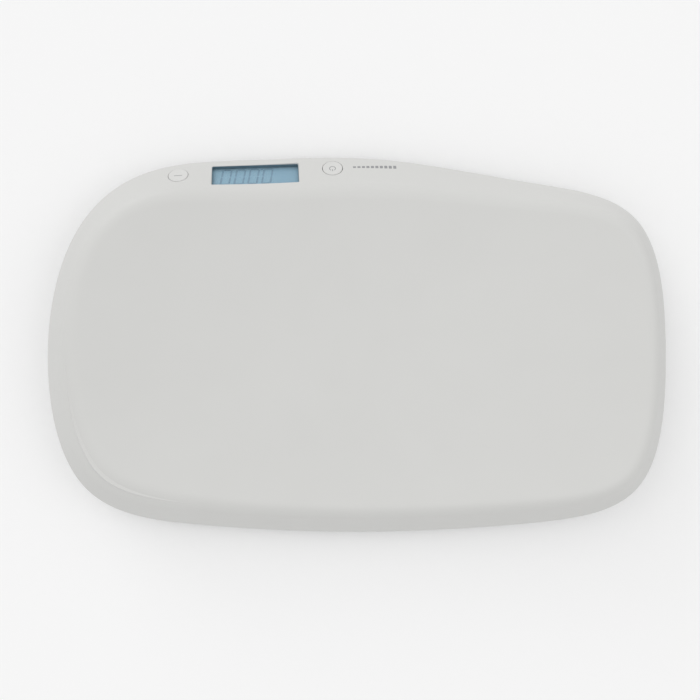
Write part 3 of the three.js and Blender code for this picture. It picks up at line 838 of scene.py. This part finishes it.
def inlay(name, outline, x0, y0):
    """A thin printed patch that follows the tray's surface."""
    rings = []
    for lift in (-PRINT_DEPTH, PRINT_LIFT):
        ring = []
        for x, y in outline:
            ring.append(Vector((x0 + x, y0 + y, panel_height(x0 + x, y0 + y) + lift)))
        rings.append(ring)
    middle = panel_height(x0, y0)
    bottom = Vector((x0, y0, middle - PRINT_DEPTH))
    top = Vector((x0, y0, middle + PRINT_LIFT))
    obj = on_panel(skin(name, bottom, rings, top, LOOKS["print_grey"]))
    return belongs(obj, "housing", "black_plastic")


# ---- Display and keys ----------------------------------------------------------------

# The strokes of a 0, from corner to corner, in half heights and whole widths.
ZERO_STROKES = (
    ((-0.5, 1), (0.5, 1)),
    ((0.5, 1), (0.5, 0)),
    ((0.5, 0), (0.5, -1)),
    ((-0.5, -1), (0.5, -1)),
    ((-0.5, 0), (-0.5, -1)),
    ((-0.5, 1), (-0.5, 0)),
)
DIGIT_COUNT = 4
DIGIT_WIDTH = 7.2
DIGIT_HEIGHT = 17.5
DIGIT_STROKE = 1.5
DIGIT_SLANT = 0.14
DIGIT_PITCH = 11.6
DIGIT_FIRST_X = -10.0
DIGIT_Y = -2.0
DIGIT_GAP = 0.18
POINT_RADIUS = 0.85
POINT_SPACE = 2.0


def segment(start, end):
    """One stroke of a digit as a hexagon with pointed ends."""
    a = Vector((start[0] * DIGIT_WIDTH, start[1] * DIGIT_HEIGHT / 2))
    b = Vector((end[0] * DIGIT_WIDTH, end[1] * DIGIT_HEIGHT / 2))
    along = (b - a).normalized()
    side = Vector((-along.y, along.x)) * DIGIT_STROKE / 2
    reach = along * DIGIT_STROKE / 2
    gap = along * DIGIT_GAP
    a, b = a + gap, b - gap
    return [a, a + reach - side, b - reach - side, b, b - reach + side, a + reach + side]


def patches(name, outlines, z, thickness, material):
    """Several flat patches in the panel's plane as one mesh."""
    verts, faces = [], []
    for outline in outlines:
        first = len(verts)
        count = len(outline)
        verts += [Vector((x, y, z)) for x, y in outline]
        verts += [Vector((x, y, z + thickness)) for x, y in outline]
        faces.append(tuple(range(first + count - 1, first - 1, -1)))
        faces.append(tuple(range(first + count, first + 2 * count)))
        for i in range(count):
            j = (i + 1) % count
            faces.append((first + i, first + j, first + count + j, first + count + i))
    return on_panel(outward(new_object(name, verts, faces, material)))


def digits():
    """The number 0.000 in slanted strokes, just over the LCD."""
    outlines = []
    for k in range(DIGIT_COUNT):
        x0 = DIGIT_FIRST_X + k * DIGIT_PITCH
        for start, end in ZERO_STROKES:
            points = segment(start, end)
            outlines.append([(x0 + p.x + DIGIT_SLANT * p.y, DIGIT_Y + p.y) for p in points])
    point_x = DIGIT_FIRST_X + DIGIT_WIDTH / 2 + POINT_SPACE - DIGIT_SLANT * DIGIT_HEIGHT / 2
    outlines.append(circle(POINT_RADIUS, point_x, DIGIT_Y - DIGIT_HEIGHT / 2, 16))
    obj = patches("lcd_digits", outlines, LCD_TOP + 0.01, 0.03, LOOKS["lcd_segment"])
    belongs(obj, "housing", "black_plastic")


# Where the lining of painted shade in the window's recess sits, in the panel's frame.
WINDOW_SHADE_TOP = -0.45
WINDOW_SHADE_THICKNESS = 0.3
WINDOW_SHADE_GAP = 0.04


def window_painted_shade():
    """A dark lining of painted shade in the opening, from just under the surface to the pane: it
    stands for the shade in the window's recess.
    """
    width, height, corner = WINDOW
    bottom = PANE_TOP + 0.1
    inner = WINDOW_SHADE_THICKNESS
    rings = []
    for inset, z in ((0, WINDOW_SHADE_TOP), (0, bottom), (inner, bottom), (inner, WINDOW_SHADE_TOP)):
        less = WINDOW_SHADE_GAP + 2 * inset
        outline = ring_outline(width - less, height - less, corner)
        rings.append([Vector((x, y, z)) for x, y in outline])
    count = len(rings[0])
    verts = [point for ring in rings for point in ring]
    faces = []
    for row in range(4):
        for i in range(count):
            j = (i + 1) % count
            low, high = row * count, (row + 1) % 4 * count
            faces.append((low + i, low + j, high + j, high + i))
    obj = on_panel(outward(new_object("window_painted_shade", verts, faces, LOOKS["window_painted_shade"])))
    belongs(obj, "housing", "black_plastic")


def display():
    look = LOOKS["window"]
    pane = slab("window_pane", *PANE, PANE_TOP, PANE_THICKNESS, edge=0.15, material=look)
    belongs(smooth(on_panel(pane), 20), "housing", "window", "display_window")
    look = LOOKS["lcd_glass"]
    glass = slab("lcd_look", *LCD, LCD_TOP, LCD_THICKNESS, edge=0.1, material=look)
    belongs(smooth(on_panel(glass), 20), "housing", "lcd_glass", "lcd_panel")
    window_painted_shade()
    digits()


KEY_SIGN_LIFT = 0.02
KEY_SHIFT = 0.22
KEY_PROUD = 0.05
KEY_DISH = 0.35
KEY_EDGE = ((0, 0.5), (0.15, 0.17), (0.5, 0))  # (inset, drop) of the rings at a cap's edge
KEY_EDGE_FADE = 0.4
KEY_TOP_RADII = (7.4, 6.2, 4.8, 3.2, 1.6)
KEY_SIDES = 72

# The signs: a bar on the tare key, and an open ring with a stroke on the unit key.
BAR_SIGN_REACH = 3.4
BAR_SIGN_STROKE = 0.7
POWER_RADIUS = 2.5
POWER_ARC = (120, 420)
POWER_BAR = (0.9, 3.3)
POWER_STROKE = 0.65


def key_cap(name):
    """A key cap whose top follows the band, with a shallow dish for the fingertip.

    It sits a little nearer the rim and its edge is rounder on the floor's side, so that its
    gap shows there as a crescent and nearly closes at the rim.
    """
    x0, y0 = KEY_PLACES[name]
    y0 -= KEY_SHIFT
    flange = panel_height(x0, y0) - KEY_FLANGE_DEPTH
    profile = (
        (KEY_STEM, KEY_STEM_END),
        (KEY_STEM, flange - 1),
        (KEY_FLANGE - 0.2, flange - 1),
        (KEY_FLANGE, flange - 0.8),
        (KEY_FLANGE, flange - 0.2),
        (KEY_FLANGE - 0.2, flange),
        (KEY_RADIUS, flange),
    )
    rings = []
    for radius, z in profile:
        rings.append([Vector((x, y, z)) for x, y in circle(radius, x0, y0, KEY_SIDES)])
    for inset, drop in KEY_EDGE:
        rings.append(key_edge(x0, y0, inset, drop))
    for radius in KEY_TOP_RADII:
        outline = circle(radius, x0, y0, KEY_SIDES)
        rings.append([Vector((x, y, key_top(x, y, x0, y0))) for x, y in outline])
    bottom = Vector((x0, y0, KEY_STEM_END))
    top = Vector((x0, y0, key_top(x0, y0, x0, y0)))
    cap = on_panel(skin(f"{name}_cap", bottom, rings, top, LOOKS["key_plastic"]))
    belongs(smooth(cap, 30), f"{name}_key", "key_plastic", f"{name}_button")


def key_edge(x0, y0, inset, drop):
    """A ring at the edge of a key's top. Its inset and drop fade towards the rim."""
    ring = []
    for ux, uy in circle(1, sides=KEY_SIDES):
        share = 1 - KEY_EDGE_FADE + KEY_EDGE_FADE * uy
        radius = KEY_RADIUS - inset * share
        x = x0 + radius * ux
        y = y0 + radius * uy
        ring.append(Vector((x, y, panel_height(x, y) + KEY_PROUD - drop * share)))
    return ring


def key_top(x, y, x0, y0):
    """Height of the dished top of the key centred on x0, y0, in the panel's frame."""
    dish = KEY_DISH * (1 - min(1, math.hypot(x - x0, y - y0) / KEY_RADIUS) ** 2)
    return panel_height(x, y) + KEY_PROUD - dish


def key_sign(name, outlines):
    """A printed sign on a key cap, from closed outlines around the key's centre."""
    x0, y0 = KEY_PLACES[name]
    verts, faces = [], []
    for outline in outlines:
        first = len(verts)
        count = len(outline)
        for lift in (-PRINT_DEPTH, KEY_SIGN_LIFT):
            for x, y in outline:
                z = key_top(x0 + x, y0 + y, x0, y0) + lift
                verts.append(Vector((x0 + x, y0 + y, z)))
        half = count // 2
        for i in range(half - 1):
            a, b, c, d = i, i + 1, count - 2 - i, count - 1 - i
            faces.append(tuple(first + k for k in (a, d, c, b)))
            faces.append(tuple(first + count + k for k in (a, b, c, d)))
        for i in range(count):
            j = (i + 1) % count
            faces.append((first + i, first + j, first + count + j, first + count + i))
    obj = new_object(f"{name}_sign", verts, faces, LOOKS["print_grey"])
    on_panel(outward(obj))
    belongs(obj, f"{name}_key", "black_plastic")


def stroke(points, width):
    """A closed outline of a stroke with the given width along some points."""
    left, right = [], []
    for i, point in enumerate(points):
        before = Vector(points[max(i - 1, 0)])
        after = Vector(points[min(i + 1, len(points) - 1)])
        along = (after - before).normalized()
        side = Vector((-along.y, along.x)) * width / 2
        left.append(tuple(Vector(point) + side))
        right.append(tuple(Vector(point) - side))
    return left + right[::-1]


def arc(radius, start, stop, steps=20):
    """Points along an arc between two angles in degrees."""
    angles = [math.radians(a) for a in spread(start, stop, steps)]
    return [(radius * math.cos(a), radius * math.sin(a)) for a in angles]


def keys():
    """Both key caps, with a bar on the tare key and a plain power sign on the unit key."""
    for name in KEY_PLACES:
        key_cap(name)
    bar_points = [(x, 0) for x in spread(-BAR_SIGN_REACH, BAR_SIGN_REACH, 12)]
    key_sign("tare", [stroke(bar_points, BAR_SIGN_STROKE)])
    ring = stroke(arc(POWER_RADIUS, *POWER_ARC), POWER_STROKE)
    upright_bar = stroke([(0, y) for y in spread(*POWER_BAR, 4)], POWER_STROKE)
    key_sign("unit", [ring, upright_bar])


# ---- Base ----------------------------------------------------------------------------


def base_section(st):
    """From the edge of the base's bottom, up its side, over the tongue and down the inside."""
    top = st.rim_z - LIP - SHADOW_GAP
    tongue = SHELL + CLEARANCE

    def wall(grow):
        low = st.scaled(BASE_BOTTOM_SCALE - grow * BASE_SHRINK, BASE_BOTTOM_Z + grow)
        scale = BASE_BULGE_SCALE - grow * BASE_SHRINK
        return low, st.scaled(scale, BASE_BOTTOM_Z + BASE_BULGE_RISE + grow)

    bottom, bulge = wall(0)
    inner_bottom, inner_bulge = wall(SHELL)
    inner_edge = st.at(tongue + TONGUE_THICKNESS, top - 1)
    outer = [bezier(bottom, bulge, st.at(BASE_INSET, top - EDGE), t) for t in spread(0, 1, 17)]
    inner = [bezier(inner_bottom, inner_bulge, inner_edge, t) for t in spread(1, 0, 9)]
    return outer + [
        st.at(BASE_INSET + EDGE, top),
        st.at(tongue, top),
        st.at(tongue, top + TONGUE_HEIGHT),
        st.at(tongue + TONGUE_THICKNESS, top + TONGUE_HEIGHT),
    ] + inner


def flat_rings(edge, scales, z):
    return [[Vector((p.x * factor, p.y * factor, z)) for p in edge] for factor in scales]


def base_skin():
    rings = rings_of([base_section(st) for st in stations()])
    low = flat_rings(rings[0], (0.35, 0.7, 0.97), BASE_BOTTOM_Z)
    high = flat_rings(rings[-1], (0.97, 0.7, 0.35), BASE_BOTTOM_Z + SHELL)
    bottom = Vector((0, 0, BASE_BOTTOM_Z))
    top = Vector((0, 0, BASE_BOTTOM_Z + SHELL))
    return skin("base_look", bottom, low + rings + high, top)


def upright(x, y, bottom, top):
    """A block round the middle with the given half sizes."""
    return box(-x, x, -y, y, bottom, top)


def base_additions():
    """The foot pockets, the screw bosses and the frame round the battery bay."""
    z = BASE_BOTTOM_Z
    solid = [bar(POCKET_OUTER, z, POCKET_TOP, x, y, 72) for x, y in FEET]
    solid += [bar(BASE_BOSS_RADIUS, z, BASE_BOSS_TOP, x, y) for x, y in CASE_SCREWS]
    solid.append(upright(DOOR_X + DOOR_FRAME, DOOR_Y + DOOR_FRAME, z, DOOR_FRAME_TOP))
    solid.append(upright(BAY_X + BAY_WALL, BAY_Y + BAY_WALL, z, BAY_TOP + BAY_WALL))
    half, reach, top = HOOK_BLOCK
    solid.append(box(-half, half, BAY_Y, reach, z, top))
    return solid


def pocket_cuts():
    """Each foot's pocket with a softened mouth, and the hole in its ceiling."""
    z = BASE_BOTTOM_Z
    profile = (
        (0, z - 1),
        (POCKET_INNER + 0.6, z - 1),
        (POCKET_INNER + 0.3, z + 0.05),
        (POCKET_INNER, z + 0.6),
        (POCKET_INNER, POCKET_CEILING),
        (0, POCKET_CEILING),
    )
    cuts = []
    for x, y in FEET:
        cuts.append(turned("tool", profile, place=(x, y, 0), sides=96))
        cuts.append(bar(POCKET_HOLE, POCKET_CEILING - 1, POCKET_TOP + 1, x, y))
    return cuts


def screw_cuts():
    """Each case screw's counterbore with a softened mouth, and its clearance hole."""
    z = BASE_BOTTOM_Z
    profile = (
        (0, z - 1),
        (3.8, z - 1),
        (3.7, z + 0.05),
        (3.4, z + 0.4),
        (3.4, SCREW_LEDGE),
        (0, SCREW_LEDGE),
    )
    cuts = []
    for x, y in CASE_SCREWS:
        cuts.append(turned("tool", profile, place=(x, y, 0), sides=48))
        cuts.append(bar(SCREW_HOLE, SCREW_LEDGE - 1, BASE_BOSS_TOP + 1, x, y))
    return cuts


def side_span(side, near, far):
    """A span on one side of the middle, as its lower and higher end."""
    return sorted((side * near, side * far))


def bay_cuts():
    """The door's recess, the battery bay, the hooks' slots and the solder tabs' slots."""
    recess_top = BASE_BOTTOM_Z + DOOR_THICKNESS + DOOR_GAP
    width = 2 * (DOOR_X + DOOR_GAP)
    height = 2 * (DOOR_Y + DOOR_GAP)
    depth = DOOR_THICKNESS + DOOR_GAP + 1
    cuts = [slab("tool", width, height, DOOR_CORNER + DOOR_GAP, recess_top, depth, edge=0.02)]
    cuts.append(upright(BAY_X, BAY_Y, BASE_BOTTOM_Z, BAY_TOP))
    for side in (-1, 1):
        low, high = side_span(side, HOOK_X[0] - HOOK_MARGIN, HOOK_X[1] + HOOK_MARGIN)
        cuts.append(box(low, high, BAY_Y - 1, HOOK_SLOT_REACH, recess_top - 1, HOOK_SLOT_TOP))
        x, y = side * TAB_SLOT_X, side * CELL_PITCH
        half_x, half_y = TAB_SLOT_HALF
        slot = (x - half_x, x + half_x, y - half_y, y + half_y)
        cuts.append(box(*slot, BAY_TOP - 1, BAY_TOP + 3))
    return cuts


def base():
    obj = base_skin()
    surface = surface_of(obj)
    boolean(obj, base_additions(), "UNION")
    boolean(obj, pocket_cuts() + screw_cuts() + bay_cuts(), "DIFFERENCE")
    smooth_from(obj, surface)
    obj.name = "base_look"
    obj.data.materials.append(LOOKS["base_plastic"])
    belongs(obj, "housing", "base_plastic", "base_shell")


# A screw from its head's crown to its tip, as (radius, height over the head's seat).
SCREW_PROFILE = (
    (0, -2.2), (2.2, -2.15), (2.75, -1.6), (3, -0.9), (3, 0), (1.5, 0), (1.5, 14), (0, 16),
)


def screws():
    """Case screws with a domed head and a cross recess."""
    seat = SCREW_LEDGE - CLEARANCE
    profile = rounded([(radius, seat + z) for radius, z in SCREW_PROFILE], 0.25)
    reach, half = SCREW_CROSS
    for i, (x, y) in enumerate(CASE_SCREWS):
        obj = turned(f"case_screw_look_{i + 1}", profile, place=(x, y, 0))
        cross = [
            box(x - reach, x + reach, y - half, y + half, seat - 3, seat - 1),
            box(x - half, x + half, y - reach, y + reach, seat - 3, seat - 1),
        ]
        boolean(obj, cross, "DIFFERENCE")
        obj.data.materials.append(LOOKS["plated_steel"])
        belongs(smooth(obj), "housing", "plated_steel", f"case_screw_{i + 1}")


# ---- Feet ----------------------------------------------------------------------------


# A foot cup with its post, and the pad under it with two raised rings.
CUP_PROFILE = (
    (0, 4.3), (18.4, 4.3), (18.4, 2), (20.5, 2), (20.5, 10), (18.7, 10), (18.7, 6.3),
    (5, 6.3), (5, 14), (2, 14), (2, 17.6), (2.9, 17.6), (2, 19), (0, 19),
)
PAD_PROFILE = (
    (0, 0.45), (9.2, 0.45), (9.6, 0), (12.2, 0), (12.6, 0.45), (14.6, 0.45), (15, 0),
    (17.2, 0), (18, 0.8), (18, 4), (0, 4),
)


def feet():
    for i, place in enumerate(FEET):
        number = i + 1
        spot = (*place, 0)
        body = f"foot_{number}"
        look = LOOKS["base_plastic"]
        cup = turned(f"foot_cup_look_{number}", rounded(CUP_PROFILE, 0.5), look, spot)
        belongs(smooth(cup), body, "base_plastic", f"foot_cup_{number}")
        look = LOOKS["rubber"]
        pad = turned(f"foot_pad_look_{number}", rounded(PAD_PROFILE, 0.25), look, spot)
        belongs(smooth(pad), body, "rubber", f"foot_pad_{number}")


# ---- Battery door and cells ----------------------------------------------------------


GROOVES = 3
GROOVE_PITCH = 2
GROOVE_FIRST_Y = -15.5
GROOVE_LENGTH = 18
GROOVE_RADIUS = 0.5


def door_additions():
    """The two hooks at the door's hinge edge and the latch at the other."""
    inside = BASE_BOTTOM_Z + 1
    solid = []
    for side in (1, -1):
        low, high = side_span(side, *HOOK_X)
        solid.append(box(low, high, *HOOK_RIB_Y, inside, HOOK_Z[1]))
        solid.append(box(low, high, HOOK_RIB_Y[0], HOOK_REACH, *HOOK_Z))
    solid.append(box(-LATCH_X, LATCH_X, *LATCH_Y, inside, LATCH_TOP))
    return solid


def grip_grooves():
    """Round grooves across the door's outer face, to push it with a fingertip."""
    radius, length = GROOVE_RADIUS, GROOVE_LENGTH
    profile = ((0, 0), (radius, 0), (radius, length), (0, length))
    grooves = []
    for k in range(GROOVES):
        groove = turned("tool", profile, sides=24)
        groove.data.transform(Matrix.Rotation(math.pi / 2, 4, "Y"))
        start = Vector((-length / 2, GROOVE_FIRST_Y + GROOVE_PITCH * k, BASE_BOTTOM_Z))
        groove.data.transform(Matrix.Translation(start * MM))
        grooves.append(groove)
    return grooves


def battery_door():
    top = BASE_BOTTOM_Z + DOOR_THICKNESS
    size = (2 * DOOR_X, 2 * DOOR_Y, DOOR_CORNER)
    obj = slab("battery_door_look", *size, top, DOOR_THICKNESS, edge=0.25)
    boolean(obj, door_additions(), "UNION")
    boolean(obj, grip_grooves(), "DIFFERENCE")
    obj.name = "battery_door_look"
    obj.data.materials.append(LOOKS["base_plastic"])
    belongs(smooth(obj, 35), "battery_door", "base_plastic", "battery_door")


# A cell along its own axis: the sleeve, and the bare metal at either end.
SLEEVE_PROFILE = (
    (0, -22.1), (4.6, -22.1), (4.6, -22.0), (5.25, -22.0), (5.25, 21.0), (4.4, 21.2), (0, 21.2),
)
TIP_PROFILES = {
    "button": ((0, 21), (1.9, 21), (1.9, 22.25), (0, 22.25)),
    "flat": ((0, -22.25), (4.2, -22.25), (4.2, -21.9), (0, -21.9)),
}


def cells():
    """Three cells side by side. The middle one lies the other way round."""
    for i, row in enumerate((-1, 0, 1)):
        turn = -1 if row == 0 else 1
        place = Matrix.Translation(Vector((0, row * CELL_PITCH, CELL_Z)) * MM)
        place = place @ Matrix.Rotation(turn * math.pi / 2, 4, "Y")
        look = LOOKS["cell_can"]
        sleeve = turned(f"cell_sleeve_{i + 1}", rounded(SLEEVE_PROFILE, 0.4), look)
        sleeve.data.transform(place)
        belongs(smooth(sleeve), "housing", "cell_can", f"battery_cell_{i + 1}")
        for end, profile in TIP_PROFILES.items():
            look = LOOKS["plated_steel"]
            tip = turned(f"cell_{end}_{i + 1}", rounded(profile, 0.2), look)
            tip.data.transform(place)
            belongs(smooth(tip), "housing", "plated_steel")


# ---- Internal nodes that keep their CAD mesh -----------------------------------------


# The look of each node whose name starts like this.
INTERNAL_LOOKS = {
    "sensor_carrier": "frame_plastic",
    "load_cell": "sensor_steel",
    "sensor_cable": "cable_sheath",
    "contact": "plated_steel",
    "lcd_frame": "frame_plastic",
    "backlight_panel": "light_guide",
    "zebra_strip": "strip_rubber",
    "main_pcb": "circuit_board",
    "controller_chip": "black_plastic",
    "pcb_screw": "plated_steel",
    "tare_switch": "black_plastic",
    "unit_switch": "black_plastic",
    "battery_lead_negative": "black_lead",
    "battery_lead_positive": "red_lead",
}


def internal_looks():
    for name, node in NODES.items():
        for start, look in INTERNAL_LOOKS.items():
            if name.startswith(start):
                node.data.materials.clear()
                node.data.materials.append(LOOKS[look])


# ---- Stage ---------------------------------------------------------------------------

FLOOR_GREY = 0.93
WORLD_STRENGTH = 0.70

# Where each soft light comes from, as (azimuth, elevation) in degrees, and its strength.
SUNS = {
    "overhead": ((0, 89), 0.53),
    "low_front": ((-60, 10), 0.62),
    "front_left": ((-45, 45), 0.22),
    "right": ((180, 45), 0.18),
}
SUN_ANGLE = 40
CAMERA_PLACE = (0.0056, 0.0045, 1.0)
CAMERA_LENS = 59
FLOOR_REACH = 12000
FLOOR_Z = -0.1


def stage_floor():
    """A wide pale floor, a hair under the pads so that the two faces don't meet."""
    look = Shader("studio_floor", (FLOOR_GREY,) * 3, 0.9, specular=0.1)
    look.vary_roughness(2, 0.88, 0.92)
    reach = FLOOR_REACH
    corners = ((-reach, -reach), (reach, -reach), (reach, reach), (-reach, reach))
    verts = [(x, y, FLOOR_Z) for x, y in corners]
    obj = new_object("studio_floor", verts, [(0, 1, 2, 3)], look.material)


def soft_sun(name, direction, strength):
    """A very wide sun, which stands for a large diffuse lamp in that direction."""
    azimuth, elevation = (math.radians(a) for a in direction)
    flat = math.cos(elevation)
    towards = Vector((flat * math.cos(azimuth), flat * math.sin(azimuth), math.sin(elevation)))
    data = bpy.data.lights.new(name, "SUN")
    data.angle = math.radians(SUN_ANGLE)
    data.energy = strength
    obj = bpy.data.objects.new(name, data)
    obj.rotation_euler = (-towards).to_track_quat("-Z", "Y").to_euler()
    bpy.context.scene.collection.objects.link(obj)


def light():
    world = bpy.data.worlds.new("studio")
    world.use_nodes = True
    background = world.node_tree.nodes["Background"]
    background.inputs["Color"].default_value = (1, 1, 1, 1)
    background.inputs["Strength"].default_value = WORLD_STRENGTH
    bpy.context.scene.world = world
    for name, (direction, strength) in SUNS.items():
        soft_sun(name, direction, strength)


def camera():
    """Straight above, looking down, with the display at the top of the picture."""
    data = bpy.data.cameras.new("camera")
    data.lens = CAMERA_LENS
    data.sensor_width = 36
    obj = bpy.data.objects.new("camera", data)
    obj.location = CAMERA_PLACE
    obj.rotation_euler = (0, 0, math.pi)
    bpy.context.scene.collection.objects.link(obj)
    bpy.context.scene.camera = obj
    bpy.context.scene.view_settings.view_transform = "Standard"


tray()
print_bars()
display()
keys()
base()
screws()
feet()
battery_door()
cells()
internal_looks()
stage_floor()
light()
camera()
